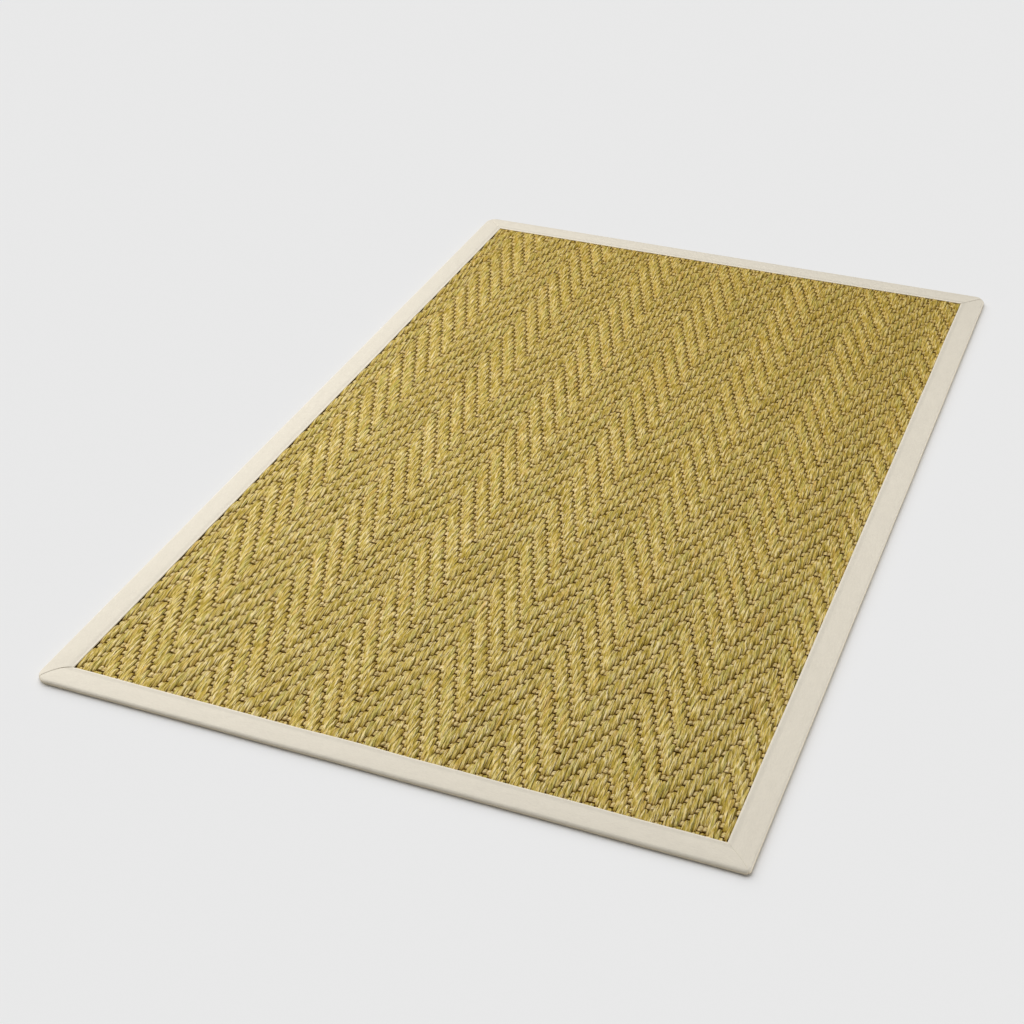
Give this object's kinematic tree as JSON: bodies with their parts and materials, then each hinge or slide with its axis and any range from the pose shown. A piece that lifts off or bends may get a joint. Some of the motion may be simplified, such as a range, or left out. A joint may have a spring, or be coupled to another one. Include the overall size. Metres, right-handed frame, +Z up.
{
  "type": "seagrass rug",
  "caption": "Flat rectangular floor rug of seagrass in a herringbone weave, its edges held in a folded cotton binding with mitred corners.",
  "frame": {"origin": "on the floor, under the middle of the rug", "axes": "+X across the rug from the left edge to the right, +Y along it from the front edge to the back, +Z up from the floor"},
  "size_m": [0.762, 1.225, 0.0068],
  "materials": {
    "seagrass": "dry twisted grass yarn, olive gold, with a faint natural sheen",
    "cotton_binding": "matt plain-woven cotton tape, cream"
  },
  "bodies": {
    "root": {"woven_panel": "seagrass", "binding_front": "cotton_binding", "binding_right": "cotton_binding", "binding_back": "cotton_binding", "binding_left": "cotton_binding"}
  },
  "joints": []
}
